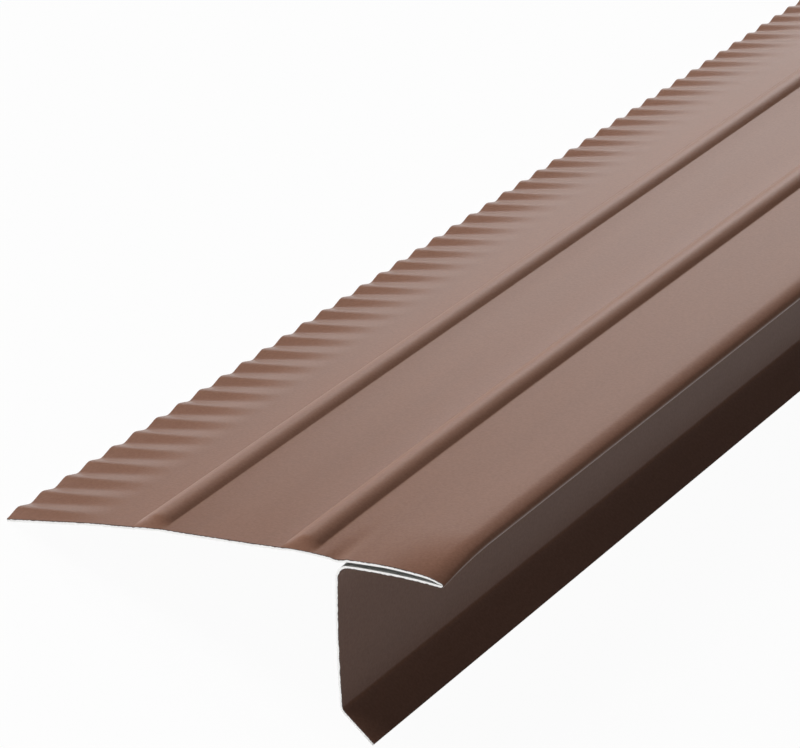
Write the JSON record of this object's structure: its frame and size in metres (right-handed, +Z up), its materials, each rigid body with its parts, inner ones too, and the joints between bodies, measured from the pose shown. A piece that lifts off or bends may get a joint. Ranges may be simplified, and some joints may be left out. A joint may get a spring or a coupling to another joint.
{
  "type": "drip edge flashing",
  "caption": "Roll-formed metal roof-edge flashing with a ribbed deck flange, crimped rear edge, folded nose, leg and outward kick.",
  "frame": {"origin": "centre of the bounding box's bottom face, with the part lying as it rests unheld on a level floor, on its crimped edge and its kick", "axes": "+Y along the stock length, +X towards the nose (outward from the roof), +Z up"},
  "size_m": [0.0696, 3.048, 0.0328],
  "materials": {
    "sheet": "dark brown semi-gloss coil coating on aluminium sheet, bare metal at the cut edges"
  },
  "bodies": {
    "root": {"drip_edge": "sheet"}
  },
  "joints": []
}
